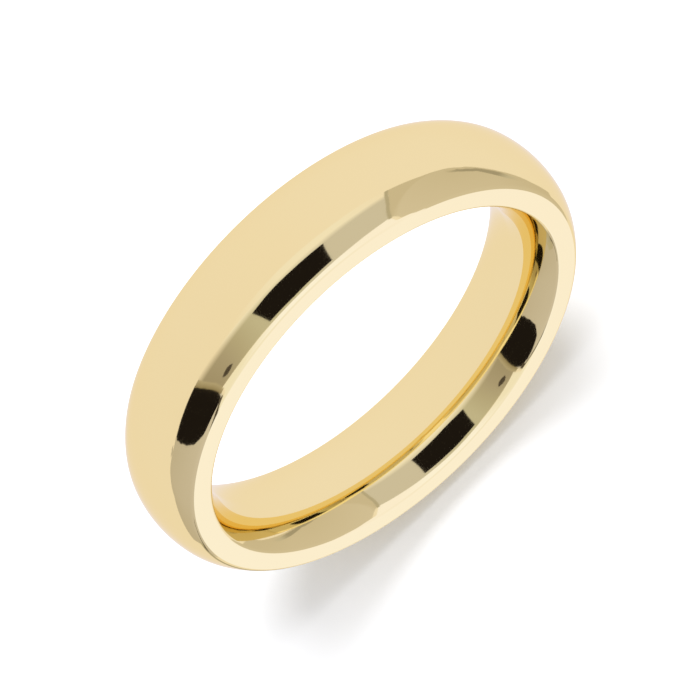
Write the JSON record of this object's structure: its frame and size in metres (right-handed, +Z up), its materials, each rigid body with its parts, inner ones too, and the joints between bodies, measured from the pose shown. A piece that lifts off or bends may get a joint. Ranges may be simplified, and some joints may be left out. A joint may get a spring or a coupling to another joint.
{
  "type": "wedding band",
  "caption": "Plain domed finger ring in polished pale yellow gold, with a rounded comfort-fit inside and narrow flat sides.",
  "frame": {"origin": "centre of the finger hole, at mid-width", "axes": "+Y along the finger hole, +Z up with the ring standing on its rim, +X across the ring"},
  "size_m": [0.0242, 0.005, 0.0242],
  "materials": {
    "polished_gold": "mirror-polished pale yellow gold"
  },
  "bodies": {
    "root": {"band": "polished_gold"}
  },
  "joints": []
}
